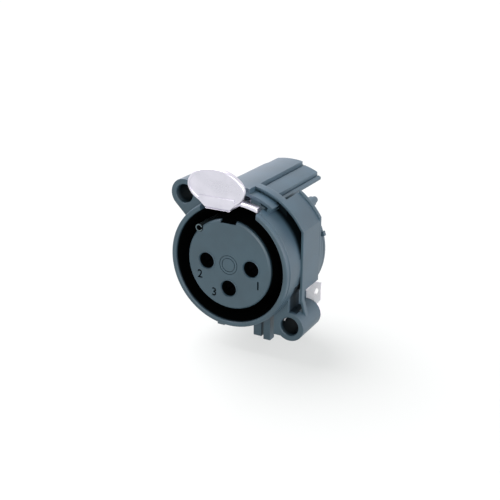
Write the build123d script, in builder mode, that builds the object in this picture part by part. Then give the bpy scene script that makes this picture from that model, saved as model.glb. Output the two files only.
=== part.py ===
from build123d import *
from math import atan2, cos, degrees, radians, sin, sqrt
import os

os.makedirs("parts", exist_ok=True)

# Three-pole female XLR panel socket, fixed from behind the panel.
# Millimetres. X is to the right seen from the front, Y runs into the panel and Z is up.
# The origin is on the socket's axis, in the plane where the ears meet the back of the panel.

# Plug that the socket takes
plug_radius = 9.5
plug_wall = 1.5
plug_clearance = 0.15
plug_inner_clearance = 0.3
plug_depth = 13.0
pin_radius = 1.18
pin_circle_radius = 4.14

# Collar in front of the panel, and the drum that carries it on behind
collar_wall = 1.25
collar_projection = 2.9
mouth_flare = 0.3
lead_in_depth = 0.9
rim_length = 0.9
rim_step = 0.12
seat_ledge = 0.45

# Open D-shaped flange: a band over the top, and a deeper part at the right
flange_front = 1.9
flange_reach = 1.85
flange_side_reach = 0.3
flange_wall = 0.4
flange_band = 1.8
flange_setback = 2.7
flange_back_wall = 1.1
band_back_wall = 0.7
deep_part_left = 7.2
bead_length = 0.8
bead_step = 0.3

# Ears for the two screws
ear_inset = 1.0
screw_hole_radius = 1.6
ear_wall = 0.95
ear_depth = 6.9
ear_block_inset = 0.2
ear_block_width = 2.7
ear_block_reach = 1.0

# Cut-out in the flange's side, which leaves room for the earth tag, and the side's bend above the ear
side_window_top = 4.2
side_window_strip = 0.9
side_bend_top = 5.5
side_bend_rise = 1.0
side_bend_out = 0.95

# Long hood over the latch
hood_length = 19.6
hood_bottom_drop = 1.2
hood_wall = 0.8
hood_rear_wall = 0.8
hood_pad_step = 0.55
hood_roof_half_width = 5.35
hood_edge_step = 0.4
hood_edge_half_width = 6.05

# Bridge over the latch slot
bridge_front = -0.2
bridge_reach = 1.1
bridge_wall = 0.55
bridge_end_angle = 34.0
bridge_leg_angle = 30.4
slot_half_width = 5.1
slot_depth = 3.25

# Insert with the three contacts
insert_face_depth = 0.24
insert_chamfer = 0.35
insert_flange_thickness = 0.7
insert_fit = 0.04
pin_hole_radius = 1.3
pin_hole_length = 1.7
keyway_width = 2.9
keyway_depth = 0.65
keyway_length = 8.0

# Contacts
contact_radius = 1.7
contact_fit = 0.05
contact_bore_clearance = 0.02
contact_bore_depth = 8.4
contact_mouth_chamfer = 0.15
contact_slit = 0.35
contact_slit_length = 5.5
contact_slit_turn = 45
shoulder_radius = 0.75
tail_radius = 0.5
tail_fit = 0.06
tail_reach = 3.2
tail_point = 0.2

# Rear cover
cover_thickness = 0.8
cover_edge_chamfer = 0.2
cover_pad_wall = 0.5
cover_pad_height = 0.5

# Latch lever, a plated casting that rocks on two trunnions
trunnion_radius = 0.45
trunnion_fit = 0.05
trunnion_wall = 0.35
trunnion_length = 1.3
trunnion_boss_wall = 0.55
lever_clearance = 0.25
saddle_gap = 0.55
saddle_thickness = 0.63
saddle_end_thickness = 0.8
saddle_end_drop = 0.8
saddle_end_gap = 0.15
saddle_setback = 0.7
saddle_width = 1.35
arm_half_width = 2.2
arm_thickness = 0.6
arm_gap = 0.3
arm_step_end = 0.6
arm_end = 7.0
nose_front = 4.3
nose_tip_front = 5.6
nose_rear = 6.6
nose_bite = 0.7
nose_half_width = 1.6
tab_foot_depth = -6.0
tab_lean = 9.5
tab_half_width = 5.03
tab_half_height = 3.25
tab_centre_height = 3.42
tab_thickness = 0.85
tab_neck_half_width = 2.25
tab_shoulder_half_width = 3.2
tab_neck_height = 0.95
neck_drop = 0.55
neck_thickness = 0.38
tab_rim_width = 0.42
tab_rim_height = 0.14
tab_edge_chamfer = 0.2

# Leaf spring that presses the latch down
spring_thickness = 0.2
spring_half_width = 1.5
spring_gap = 0.05
spring_tip_lift = 0.25
spring_foot_length = 0.9

# Earth contact that touches the plug's shell
shell_spring_angle = 134.5
shell_spring_rise = 0.05
shell_spring_radius = 0.62
shell_spring_wall = 0.2
shell_spring_slit = 0.35
shell_spring_length = 6.4
shell_spring_projection = 0.1
shell_spring_groove_fit = 0.1
shell_wire_radius = 0.3

# Earth clip behind the lower right ear, with its claws in the screw hole
clip_thickness = 0.4
clip_fit = 0.05
clip_ring_width = 0.85
claw_wall = 0.3
claw_front = 1.2
claw_start_angle = 98
claw_sweep_angle = 74
claw_bite = 0.18
claw_tooth_width = 0.42
claw_count = 3
tag_overhang = 1.05
tag_gap = 1.1
tag_top_gap = 0.1
tag_slot_width = 0.6
tag_slot_length = 1.2
tag_slot_edge = 0.8
tag_slot_drop = 1.6
tag_slot_turn = 70
tag_arc_start = -40
tag_arc_middle = -30

# Pegs, feet, catches and nub
peg_radius = 0.6
peg_shoulder = 0.3
peg_ride = 0.5
peg_angle = 45.4
peg_length = 1.35
peg_point = 0.2
foot_front = 2.6
foot_depth = 1.6
foot_inner_x = 1.85
foot_inner_width = 1.5
foot_inner_reach = 3.45
foot_outer_gap = 0.4
foot_outer_width = 1.3
foot_outer_reach = 3.85
catch_angle = 17.0
catch_height = 0.4
catch_width = 0.8
catch_length = 0.7
catch_setback = 0.3
nub_left = 2.5
nub_width = 1.15
nub_height = 0.4
nub_front = -1.95
nub_length = 1.2

# Places that follow from the sizes above
bore_radius = plug_radius + plug_clearance
collar_radius = bore_radius + collar_wall
collar_front = -collar_projection
annulus_floor = collar_front + plug_depth
seat_radius = bore_radius + seat_ledge
drum_rear = annulus_floor + insert_flange_thickness
cover_rear = drum_rear + cover_thickness
board_face = cover_rear + cover_pad_height
ear_place = collar_radius - ear_inset
ear_radius = screw_hole_radius + ear_wall
flange_radius = collar_radius + flange_reach
flange_side = collar_radius + flange_side_reach
flange_rear = drum_rear - flange_setback
flange_floor = flange_rear - flange_back_wall
band_rear = flange_front + flange_band
bridge_radius = collar_radius + bridge_reach
bridge_inner_radius = bridge_radius - bridge_wall
slot_rear = collar_front + slot_depth
hood_bottom = collar_radius - hood_bottom_drop
hood_roof_radius = flange_radius - hood_pad_step
hood_edge_radius = hood_roof_radius - hood_edge_step
channel_half_width = arm_half_width + lever_clearance
channel_radius = flange_radius - hood_wall
channel_rear = hood_length - hood_rear_wall
insert_radius = plug_radius - plug_wall - plug_inner_clearance
insert_face = collar_front + insert_face_depth
contact_hole_radius = contact_radius + contact_fit
contact_front = insert_face + pin_hole_length + contact_fit
tail_end = board_face + tail_reach
arm_bottom = bore_radius + arm_gap
arm_top = arm_bottom + arm_thickness
trunnion_hole_radius = trunnion_radius + trunnion_fit
pivot_depth = slot_rear + trunnion_wall + trunnion_hole_radius
pivot_height = arm_bottom + arm_thickness / 2
trunnion_reach = arm_half_width + trunnion_length
trunnion_boss_half_width = trunnion_reach + lever_clearance + trunnion_boss_wall
saddle_front = collar_front + saddle_setback
saddle_rear = saddle_front + saddle_width
saddle_bottom = bore_radius + saddle_gap
saddle_half_width = slot_half_width - saddle_end_gap
nose_depth = plug_radius - nose_bite
neck_bottom = collar_radius - neck_drop
neck_top = neck_bottom + neck_thickness
tab_foot_height = neck_bottom + neck_thickness / 2
leaf_level = collar_radius + spring_gap
leaf_contact = arm_top + spring_gap
leaf_bend = arm_end + lever_clearance + spring_foot_length
leaf_touch = arm_end - spring_foot_length
shell_spring_place = insert_radius + shell_spring_rise
clip_front = ear_depth + clip_fit
claw_radius = screw_hole_radius + claw_wall
tag_side = flange_side + tag_overhang
tag_top = -side_window_top - tag_top_gap
tag_inner_radius = collar_radius + tag_gap
peg_distance = collar_radius + peg_ride
far = 30.0
contact_places = [(pin_circle_radius, 0), (-pin_circle_radius, 0), (0, -pin_circle_radius)]


def facing(depth):
    """A plane across the socket's axis. Its X and Y are the socket's X and Z."""
    return Plane(origin=(0, depth, 0), x_dir=(1, 0, 0), z_dir=(0, -1, 0))


def along(x):
    """A plane along the socket's axis. Its X and Y are the socket's Y and Z."""
    return Plane(origin=(x, 0, 0), x_dir=(0, 1, 0), z_dir=(1, 0, 0))


def arc_height(radius, half_width):
    """Height of a circle of this radius above the axis, at half_width from the middle."""
    return sqrt(radius * radius - half_width * half_width)


def on_circle(radius, angle, x=0, z=0):
    """Point on a circle about (x, z), at an angle in degrees from the right."""
    return (x + radius * cos(radians(angle)), z + radius * sin(radians(angle)))


def wedge(half_angle):
    """Outline of a wedge that opens upwards from the socket's axis."""
    edge = far * sin(radians(half_angle))
    reach = far * cos(radians(half_angle))
    with BuildLine() as outline:
        Polyline((0, 0), (edge, reach), (-edge, reach), (0, 0))
    return outline.line


def crown(radius, half_width, bottom):
    """Outline of a block with an arched top about the socket's axis."""
    side = arc_height(radius, half_width)
    with BuildLine() as outline:
        ThreePointArc((-half_width, side), (0, radius), (half_width, side))
        Polyline((half_width, side), (half_width, bottom), (-half_width, bottom), (-half_width, side))
    return outline.line


def flange_outline(inset):
    """Outline of the flange, drawn in by inset: round top, flat right side, left end inside the upper ear."""
    radius = flange_radius - inset
    side = flange_side - inset
    left = inset - ear_place
    corner = (side, arc_height(radius, side))
    end = (left, arc_height(radius, left))
    with BuildLine() as outline:
        ThreePointArc(end, (0, radius), corner)
        Polyline(
            corner,
            (side, -side_bend_top),
            (side + side_bend_out, side_bend_rise - ear_place),
            (0, side_bend_rise - ear_place),
            (0, 0),
            (left, 0),
            end,
        )
    return outline.line


ear_places = [(ear_place, -ear_place), (-ear_place, ear_place)]
shell_spring_spot = on_circle(shell_spring_place, shell_spring_angle)
peg_places = [on_circle(peg_distance, peg_angle), on_circle(peg_distance, peg_angle + 180)]

with BuildPart() as housing:
    # Flange: the shallow band, the deeper part at the right and the bead at its rear edge
    with BuildSketch(facing(flange_front)):
        with BuildLine():
            add(flange_outline(0))
        make_face()
    extrude(amount=-flange_band)
    with BuildSketch(facing(flange_front)):
        with BuildLine():
            add(flange_outline(0))
        make_face()
        with Locations((deep_part_left, 0)):
            Rectangle(far, 2 * far, align=(Align.MIN, Align.CENTER), mode=Mode.INTERSECT)
    extrude(amount=-(flange_rear - flange_front))
    with BuildSketch(facing(flange_rear)):
        Circle(flange_radius + bead_step)
        with Locations((deep_part_left, 0)):
            Rectangle(flange_side - deep_part_left, far, align=Align.MIN, mode=Mode.INTERSECT)
    extrude(amount=-bead_length)

    # Cavity between the flange's wall and the collar
    with BuildSketch(facing(flange_front)):
        with BuildLine():
            add(flange_outline(flange_wall))
        make_face()
    extrude(amount=-(flange_band - band_back_wall), mode=Mode.SUBTRACT)
    with BuildSketch(facing(flange_front)):
        with BuildLine():
            add(flange_outline(flange_wall))
        make_face()
        with Locations((deep_part_left + flange_wall, 0)):
            Rectangle(far, 2 * far, align=(Align.MIN, Align.CENTER), mode=Mode.INTERSECT)
    extrude(amount=-(flange_floor - flange_front), mode=Mode.SUBTRACT)

    # Window under the flat side, beside the earth tag
    with BuildSketch(along(far)):
        with BuildLine():
            Polyline(
                (flange_front + side_window_strip, -side_window_top),
                (far, -side_window_top),
                (far, -far),
                (flange_front + side_window_strip, -far),
                (flange_front + side_window_strip, -side_window_top),
            )
        make_face()
    extrude(amount=-(far - deep_part_left), mode=Mode.SUBTRACT)

    # Ears: the upper one on a web that runs out from the drum, the lower one on a block
    with BuildSketch(facing(0)):
        with Locations(*ear_places):
            Circle(ear_radius)
        with Locations(Location((-ear_place / 2, ear_place / 2), -45)):
            Rectangle(ear_place * sqrt(2), 2 * ear_radius)
        with Locations((ear_place - ear_block_inset, 0)):
            Rectangle(ear_block_width, collar_radius + ear_block_reach, align=Align.MAX)
    extrude(amount=-ear_depth)

    # Hood: an edge strip, a roof and a raised pad that runs forward over the bridge
    for radius, half_width in (
        (hood_edge_radius, hood_edge_half_width),
        (hood_roof_radius, hood_roof_half_width),
        (flange_radius, channel_half_width),
    ):
        with BuildSketch(facing(flange_front)):
            with BuildLine():
                add(crown(radius, half_width, hood_bottom))
            make_face()
        extrude(amount=-(hood_length - flange_front))
    with BuildSketch(facing(0)):
        with BuildLine():
            add(crown(flange_radius, channel_half_width, bridge_inner_radius))
        make_face()
    extrude(amount=-flange_front)

    # Bridge over the latch slot, and its two legs
    with BuildSketch(facing(bridge_front)):
        Circle(bridge_radius)
        Circle(bridge_inner_radius, mode=Mode.SUBTRACT)
        with BuildLine():
            add(wedge(bridge_end_angle))
        make_face(mode=Mode.INTERSECT)
    extrude(amount=bridge_front - band_rear)
    with BuildSketch(facing(bridge_front)):
        Circle(bridge_radius)
        Circle(bore_radius, mode=Mode.SUBTRACT)
        with BuildLine():
            add(wedge(bridge_end_angle))
        make_face(mode=Mode.INTERSECT)
        with BuildLine():
            add(wedge(bridge_leg_angle))
        make_face(mode=Mode.SUBTRACT)
    extrude(amount=bridge_front - band_rear)
    # Block under the bridge that carries the lever's trunnions
    with BuildSketch(facing(slot_rear)):
        with BuildLine():
            add(crown(bridge_radius - bridge_wall / 2, trunnion_boss_half_width, hood_bottom))
        make_face()
    extrude(amount=slot_rear - band_rear)

    # Collar and drum
    with BuildSketch(Plane.XY):
        with BuildLine():
            Polyline(
                (0, collar_front),
                (collar_radius - rim_step, collar_front),
                (collar_radius - rim_step, collar_front + rim_length),
                (collar_radius, collar_front + rim_length),
                (collar_radius, drum_rear),
                (0, drum_rear),
                (0, collar_front),
            )
        make_face()
    revolve(axis=Axis.Y)

    # Locating pegs for the circuit board, each with a thicker root along the drum
    with BuildSketch(facing(flange_floor)):
        with Locations(*peg_places):
            Circle(peg_radius + peg_shoulder)
    extrude(amount=flange_floor - cover_rear)
    with BuildSketch(facing(cover_rear)):
        with Locations(*peg_places):
            Circle(peg_radius)
    extrude(amount=-peg_length)
    chamfer(housing.faces().filter_by(Axis.Y).sort_by(Axis.Y)[-3:-1].edges(), peg_point)

    # Feet under the flange, catches on the drum's sides and the nub under the collar
    foot_outer_x = foot_inner_x + foot_inner_width + foot_outer_gap
    with BuildSketch(facing(foot_front)):
        with Locations((foot_inner_x, 0)):
            Rectangle(foot_inner_width, collar_radius + foot_inner_reach, align=(Align.MIN, Align.MAX))
        with Locations((foot_outer_x, 0)):
            Rectangle(foot_outer_width, collar_radius + foot_outer_reach, align=(Align.MIN, Align.MAX))
    extrude(amount=-foot_depth)
    for side in (catch_angle, 180 - catch_angle):
        with BuildSketch(facing(drum_rear - catch_setback)):
            with Locations(Rotation(0, 0, side)):
                with Locations((collar_radius, 0)):
                    Rectangle(2 * catch_height, catch_width)
        extrude(amount=catch_length)
    with BuildSketch(facing(nub_front)):
        with Locations((-nub_left, 0)):
            Rectangle(nub_width, collar_radius + nub_height, align=(Align.MIN, Align.MAX))
    extrude(amount=-nub_length)

    # Bore for the plug's shell, its lead-in and the seat of the insert's flange
    with BuildSketch(Plane.XY):
        with BuildLine():
            Polyline(
                (0, collar_front),
                (bore_radius + mouth_flare, collar_front),
                (bore_radius, collar_front + lead_in_depth),
                (bore_radius, annulus_floor),
                (seat_radius, annulus_floor),
                (seat_radius, drum_rear),
                (0, drum_rear),
                (0, collar_front),
            )
        make_face()
    revolve(axis=Axis.Y, mode=Mode.SUBTRACT)

    # Slot in the collar's top for the lever's saddle
    with BuildSketch(facing(collar_front)):
        with Locations((0, plug_radius / 2)):
            Rectangle(2 * slot_half_width, far, align=(Align.CENTER, Align.MIN))
        Circle(bridge_inner_radius, mode=Mode.INTERSECT)
    extrude(amount=-slot_depth, mode=Mode.SUBTRACT)

    # Channel for the latch arm, open to the bore, and for the leaf spring behind it
    with BuildSketch(facing(collar_front)):
        with Locations((0, plug_radius / 2)):
            Rectangle(2 * channel_half_width, far, align=(Align.CENTER, Align.MIN))
        Circle(bridge_inner_radius, mode=Mode.INTERSECT)
    extrude(amount=-(leaf_bend - collar_front), mode=Mode.SUBTRACT)
    for front, bottom in ((band_rear, collar_radius), (cover_rear, hood_bottom - hood_wall)):
        with BuildSketch(facing(front)):
            with BuildLine():
                add(crown(channel_radius, channel_half_width, bottom))
            make_face()
        extrude(amount=-(channel_rear - front), mode=Mode.SUBTRACT)

    # Slot in the hood's rear wall that holds the leaf spring
    with BuildSketch(facing(channel_rear)):
        with Locations((0, leaf_level - spring_gap)):
            Rectangle(
                2 * (spring_half_width + spring_gap),
                spring_thickness + 2 * spring_gap,
                align=(Align.CENTER, Align.MIN),
            )
    extrude(amount=-hood_rear_wall / 2, mode=Mode.SUBTRACT)

    # Holes for the lever's trunnions
    with BuildSketch(along(0)):
        with Locations((pivot_depth, pivot_height)):
            Circle(trunnion_hole_radius)
    extrude(amount=trunnion_reach + lever_clearance, both=True, mode=Mode.SUBTRACT)

    # Screw holes, and the pocket for the earth claws in the lower one
    with BuildSketch(facing(0)):
        with Locations(*ear_places):
            Circle(screw_hole_radius)
    extrude(amount=-ear_depth, mode=Mode.SUBTRACT)
    with BuildSketch(facing(claw_front - clip_fit)):
        with Locations((ear_place, -ear_place)):
            Circle(claw_radius + clip_fit)
    extrude(amount=-(ear_depth - claw_front + clip_fit), mode=Mode.SUBTRACT)

housing.part.label = "housing"

with BuildPart() as insert:
    # Round body that the plug's shell slides over, with a flange that seats in the drum
    with BuildSketch(Plane.XY):
        with BuildLine():
            Polyline(
                (0, insert_face),
                (insert_radius - insert_chamfer, insert_face),
                (insert_radius, insert_face + insert_chamfer),
                (insert_radius, annulus_floor),
                (seat_radius - insert_fit, annulus_floor),
                (seat_radius - insert_fit, drum_rear),
                (0, drum_rear),
                (0, insert_face),
            )
        make_face()
    revolve(axis=Axis.Y)
    # Pin holes, and the wider bores behind them that hold the contacts
    with BuildSketch(facing(insert_face)):
        with Locations(*contact_places):
            Circle(pin_hole_radius)
    extrude(amount=-pin_hole_length, mode=Mode.SUBTRACT)
    with BuildSketch(facing(insert_face + pin_hole_length)):
        with Locations(*contact_places):
            Circle(contact_hole_radius)
    extrude(amount=-(drum_rear - insert_face - pin_hole_length), mode=Mode.SUBTRACT)
    # Keyway in the top
    with BuildSketch(facing(insert_face)):
        with Locations((0, insert_radius - keyway_depth)):
            Rectangle(keyway_width, insert_radius, align=(Align.CENTER, Align.MIN))
    extrude(amount=-keyway_length, mode=Mode.SUBTRACT)
    # Groove for the shell's earth contact, and the hole for its wire
    with BuildSketch(facing(insert_face)):
        with Locations(shell_spring_spot):
            Circle(shell_spring_radius + shell_spring_groove_fit)
    extrude(amount=-(annulus_floor - insert_face), mode=Mode.SUBTRACT)
    with BuildSketch(facing(annulus_floor)):
        with Locations(shell_spring_spot):
            Circle(shell_wire_radius + tail_fit)
    extrude(amount=-insert_flange_thickness, mode=Mode.SUBTRACT)

insert.part.label = "insert"

contacts = []
for number, (contact_x, contact_z) in enumerate(contact_places, start=1):
    with BuildPart() as contact:
        # Turned sleeve with a solid base, a shoulder and a round tail for the circuit board
        with BuildSketch(Plane.XY):
            bore = pin_radius + contact_bore_clearance
            sleeve_end = contact_front + contact_bore_depth
            with BuildLine():
                Polyline(
                    (bore + contact_mouth_chamfer, contact_front),
                    (contact_radius, contact_front),
                    (contact_radius, drum_rear),
                    (shoulder_radius, drum_rear),
                    (shoulder_radius, board_face),
                    (tail_radius, board_face),
                    (tail_radius, tail_end - tail_point),
                    (tail_radius - tail_point, tail_end),
                    (0, tail_end),
                    (0, sleeve_end),
                    (bore, sleeve_end),
                    (bore, contact_front + contact_mouth_chamfer),
                    (bore + contact_mouth_chamfer, contact_front),
                )
            make_face()
        revolve(axis=Axis.Y)
        # Slits that let the sleeve grip the pin
        with BuildSketch(facing(contact_front)):
            Rectangle(4 * contact_radius, contact_slit, rotation=contact_slit_turn)
        extrude(amount=-contact_slit_length, mode=Mode.SUBTRACT)
    contact.part.position = (contact_x, 0, contact_z)
    contact.part.label = f"contact_{number}"
    contacts.append(contact.part)

with BuildPart() as rear_cover:
    # Plate that closes the drum behind the insert
    with BuildSketch(Plane.XY):
        with BuildLine():
            Polyline(
                (0, drum_rear),
                (collar_radius, drum_rear),
                (collar_radius, cover_rear - cover_edge_chamfer),
                (collar_radius - cover_edge_chamfer, cover_rear),
                (0, cover_rear),
                (0, drum_rear),
            )
        make_face()
    revolve(axis=Axis.Y)
    # Round pads that stand on the circuit board, one round each tail
    with BuildSketch(facing(cover_rear)):
        with Locations(*contact_places):
            Circle(shoulder_radius + tail_fit + cover_pad_wall)
    extrude(amount=-cover_pad_height)
    # Room for the hood, the locating pegs, the tails and the wire
    with BuildSketch(facing(drum_rear)):
        with Locations((0, hood_bottom - lever_clearance)):
            Rectangle(far, far, align=(Align.CENTER, Align.MIN))
        with Locations(*peg_places):
            Circle(peg_radius + peg_shoulder + tail_fit)
        with Locations(*contact_places):
            Circle(shoulder_radius + tail_fit)
        with Locations(shell_spring_spot):
            Circle(shell_wire_radius + tail_fit)
    extrude(amount=-far, mode=Mode.SUBTRACT)

rear_cover.part.label = "rear_cover"

tab_angle = radians(tab_lean)
tab_plane = Plane(
    origin=(0, tab_foot_depth, tab_foot_height),
    x_dir=(1, 0, 0),
    z_dir=(0, -cos(tab_angle), -sin(tab_angle)),
)

with BuildPart() as latch_lever:
    # Oval thumb tab that leans a little to the front, with a fine raised rim
    with BuildSketch(tab_plane):
        with Locations((0, tab_centre_height)):
            Ellipse(tab_half_width, tab_half_height)
    extrude(amount=-tab_thickness)
    chamfer(latch_lever.edges(), tab_edge_chamfer)
    with BuildSketch(tab_plane):
        with Locations((0, tab_centre_height)):
            Ellipse(tab_half_width - tab_rim_width, tab_half_height - tab_rim_width)
    extrude(amount=-tab_rim_height, mode=Mode.SUBTRACT)
    # Neck that widens into the tab
    with BuildSketch(tab_plane):
        with BuildLine():
            Polyline(
                (-tab_neck_half_width, 0),
                (tab_neck_half_width, 0),
                (tab_shoulder_half_width, tab_neck_height),
                (-tab_shoulder_half_width, tab_neck_height),
                (-tab_neck_half_width, 0),
            )
        make_face()
    extrude(amount=-(tab_thickness - tab_edge_chamfer))
    # Neck, arm and nose in one bent strip
    with BuildSketch(along(0)):
        with BuildLine():
            Polyline(
                (tab_foot_depth, neck_bottom),
                (saddle_rear, neck_bottom),
                (arm_step_end - arm_thickness, arm_bottom),
                (arm_end, arm_bottom),
                (arm_end, arm_top),
                (arm_step_end, arm_top),
                (saddle_rear, neck_top),
                (tab_foot_depth + tab_thickness / 2, neck_top),
                (tab_foot_depth, neck_bottom),
            )
        make_face()
    extrude(amount=arm_half_width, both=True)
    with BuildSketch(along(0)):
        with BuildLine():
            Polyline(
                (nose_front, arm_bottom),
                (nose_tip_front, nose_depth),
                (nose_rear, nose_depth),
                (nose_rear, arm_bottom + arm_thickness / 2),
                (nose_front, arm_bottom + arm_thickness / 2),
                (nose_front, arm_bottom),
            )
        make_face()
    extrude(amount=nose_half_width, both=True)
    # Bar across the slot, bowed a little less than the collar
    with BuildSketch(facing(saddle_front)):
        with BuildLine():
            end_bottom = saddle_bottom - saddle_end_drop
            end_top = end_bottom + saddle_end_thickness
            saddle_top = saddle_bottom + saddle_thickness
            ThreePointArc((-saddle_half_width, end_top), (0, saddle_top), (saddle_half_width, end_top))
            Line((saddle_half_width, end_top), (saddle_half_width, end_bottom))
            ThreePointArc((saddle_half_width, end_bottom), (0, saddle_bottom), (-saddle_half_width, end_bottom))
            Line((-saddle_half_width, end_bottom), (-saddle_half_width, end_top))
        make_face()
    extrude(amount=-saddle_width)
    # Trunnions
    with BuildSketch(along(0)):
        with Locations((pivot_depth, pivot_height)):
            Circle(trunnion_radius)
    extrude(amount=trunnion_reach, both=True)

latch_lever.part.label = "latch_lever"

# The leaf lies on the drum's wall and dips to the arm, with its tip turned up
with BuildPart() as latch_spring:
    with BuildSketch(along(0)):
        with BuildLine():
            Polyline(
                (hood_length - hood_rear_wall / 2, leaf_level),
                (leaf_bend, leaf_level),
                (leaf_touch, leaf_contact),
                (leaf_touch - spring_foot_length, leaf_contact + spring_tip_lift),
                (leaf_touch - spring_foot_length, leaf_contact + spring_tip_lift + spring_thickness),
                (leaf_touch, leaf_contact + spring_thickness),
                (leaf_bend, leaf_level + spring_thickness),
                (hood_length - hood_rear_wall / 2, leaf_level + spring_thickness),
                (hood_length - hood_rear_wall / 2, leaf_level),
            )
        make_face()
    extrude(amount=spring_half_width, both=True)

latch_spring.part.label = "latch_spring"

with BuildPart() as shell_earth_contact:
    # Split sleeve that stands out of the insert's edge and touches the plug's shell
    with BuildSketch(facing(insert_face - shell_spring_projection)):
        Circle(shell_spring_radius)
        Circle(shell_spring_radius - shell_spring_wall, mode=Mode.SUBTRACT)
        Rectangle(2 * shell_spring_radius, shell_spring_slit, align=(Align.MIN, Align.CENTER), mode=Mode.SUBTRACT)
    extrude(amount=-shell_spring_length)
    # Wire held in the sleeve, which runs back to the circuit board
    with BuildSketch(facing(insert_face + shell_spring_length / 2)):
        Circle(shell_spring_radius - shell_spring_wall / 2)
    extrude(amount=-(shell_spring_length / 2 - shell_spring_projection))
    with BuildSketch(facing(insert_face + shell_spring_length / 2)):
        Circle(shell_wire_radius)
    extrude(amount=-(tail_end - insert_face - shell_spring_length / 2))
shell_earth_contact.part.position = (shell_spring_spot[0], 0, shell_spring_spot[1])

shell_earth_contact.part.label = "shell_earth_contact"

with BuildPart() as panel_earth_clip:
    # Ring behind the ear
    with BuildSketch(facing(clip_front)):
        with Locations((ear_place, -ear_place)):
            Circle(screw_hole_radius + clip_ring_width)
        # Tag that reaches up beside the drum
        with BuildLine():
            tag_low = (ear_place + ear_radius / 2, -ear_place + ear_radius / 2)
            tag_inner_low = on_circle(tag_inner_radius, tag_arc_start)
            tag_inner_mid = on_circle(tag_inner_radius, tag_arc_middle)
            tag_inner_top = (arc_height(tag_inner_radius, tag_top), tag_top)
            Line((ear_place - ear_radius / 2, -ear_place + ear_radius / 2), tag_inner_low)
            ThreePointArc(tag_inner_low, tag_inner_mid, tag_inner_top)
            Polyline(
                tag_inner_top,
                (tag_side, tag_top),
                (tag_side, -ear_place + ear_radius),
                tag_low,
                (ear_place, -ear_place),
                (ear_place - ear_radius / 2, -ear_place + ear_radius / 2),
            )
        make_face()
        with Locations((tag_side - tag_slot_edge, tag_top - tag_slot_drop)):
            SlotOverall(tag_slot_length, tag_slot_width, rotation=tag_slot_turn, mode=Mode.SUBTRACT)
        with Locations((ear_place, -ear_place)):
            Circle(screw_hole_radius, mode=Mode.SUBTRACT)
    extrude(amount=-clip_thickness)
    # Curved strip that lines the hole, and the claws at its front
    with BuildSketch(facing(claw_front)):
        with BuildLine():
            CenterArc((ear_place, -ear_place), claw_radius, claw_start_angle, claw_sweep_angle)
            CenterArc((ear_place, -ear_place), screw_hole_radius, claw_start_angle, claw_sweep_angle)
            for end in (claw_start_angle, claw_start_angle + claw_sweep_angle):
                inner_end = on_circle(screw_hole_radius, end, ear_place, -ear_place)
                Line(inner_end, on_circle(claw_radius, end, ear_place, -ear_place))
        make_face()
    extrude(amount=-(clip_front - claw_front))
    with BuildSketch(facing(claw_front)):
        with Locations((ear_place, -ear_place)):
            with PolarLocations(
                (screw_hole_radius - claw_bite + claw_radius) / 2,
                claw_count,
                start_angle=claw_start_angle + claw_sweep_angle / (2 * claw_count),
                angular_range=claw_sweep_angle * (claw_count - 1) / claw_count,
                endpoint=True,
            ):
                Rectangle(claw_wall + claw_bite, claw_tooth_width)
    extrude(amount=-claw_wall)

panel_earth_clip.part.label = "panel_earth_clip"

for piece in (housing, insert, rear_cover, latch_lever, latch_spring, shell_earth_contact, panel_earth_clip):
    export_step(piece.part, f"parts/{piece.part.label}.step")
for piece in contacts:
    export_step(piece, f"parts/{piece.label}.step")
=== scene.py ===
"""A black three-pole panel socket with a plated push tab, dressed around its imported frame.

Sizes in the classes are in millimetres, in the frame's own axes: X to the right seen from the front,
Y into the panel along the socket's axis, Z up. Mesh points are turned to metres once, in Shell.build.
Cutters stand out past what they cut by OVER.
"""
from __future__ import annotations

import logging
import math
from dataclasses import dataclass, field
from enum import Enum
from typing import Callable

import bmesh
import bpy
import numpy as np
from mathutils import Matrix, Vector

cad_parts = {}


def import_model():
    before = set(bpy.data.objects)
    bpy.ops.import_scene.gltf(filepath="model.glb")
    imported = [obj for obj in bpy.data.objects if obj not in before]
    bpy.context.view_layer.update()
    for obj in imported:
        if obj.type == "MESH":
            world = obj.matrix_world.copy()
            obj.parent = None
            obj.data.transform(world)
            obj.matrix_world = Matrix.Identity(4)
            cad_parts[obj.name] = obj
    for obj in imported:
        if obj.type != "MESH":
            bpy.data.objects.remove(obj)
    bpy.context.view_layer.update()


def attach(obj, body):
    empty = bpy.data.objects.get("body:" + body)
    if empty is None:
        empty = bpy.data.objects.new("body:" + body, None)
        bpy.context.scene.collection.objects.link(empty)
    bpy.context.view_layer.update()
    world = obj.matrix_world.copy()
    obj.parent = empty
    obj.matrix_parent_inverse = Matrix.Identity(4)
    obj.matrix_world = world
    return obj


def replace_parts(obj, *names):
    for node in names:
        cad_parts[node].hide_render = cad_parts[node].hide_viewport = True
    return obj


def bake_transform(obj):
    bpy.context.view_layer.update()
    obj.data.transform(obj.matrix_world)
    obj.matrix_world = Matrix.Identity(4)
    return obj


MM = 0.001
OVER = 1.0
SMOOTH_ANGLE = math.radians(32)
FLAT_ANGLE = math.radians(0.5)
MERGE_DISTANCE = 0.002 * MM
SQUARE = ((-1.0, -1.0), (1.0, -1.0), (1.0, 1.0), (-1.0, 1.0))
BODY_SOCKET = "socket"
BODY_LATCH = "latch"
LOG = logging.getLogger("panel_socket")
Points = np.ndarray
Piece = bpy.types.Object
Finish = bpy.types.Material
Input = bpy.types.NodeSocket


def add_object(name: str, data: bpy.types.ID) -> Piece:
    """Puts a new object with the given data into the scene."""
    made = bpy.data.objects.new(name, data)
    bpy.context.scene.collection.objects.link(made)
    return made


# Surfaces

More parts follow.
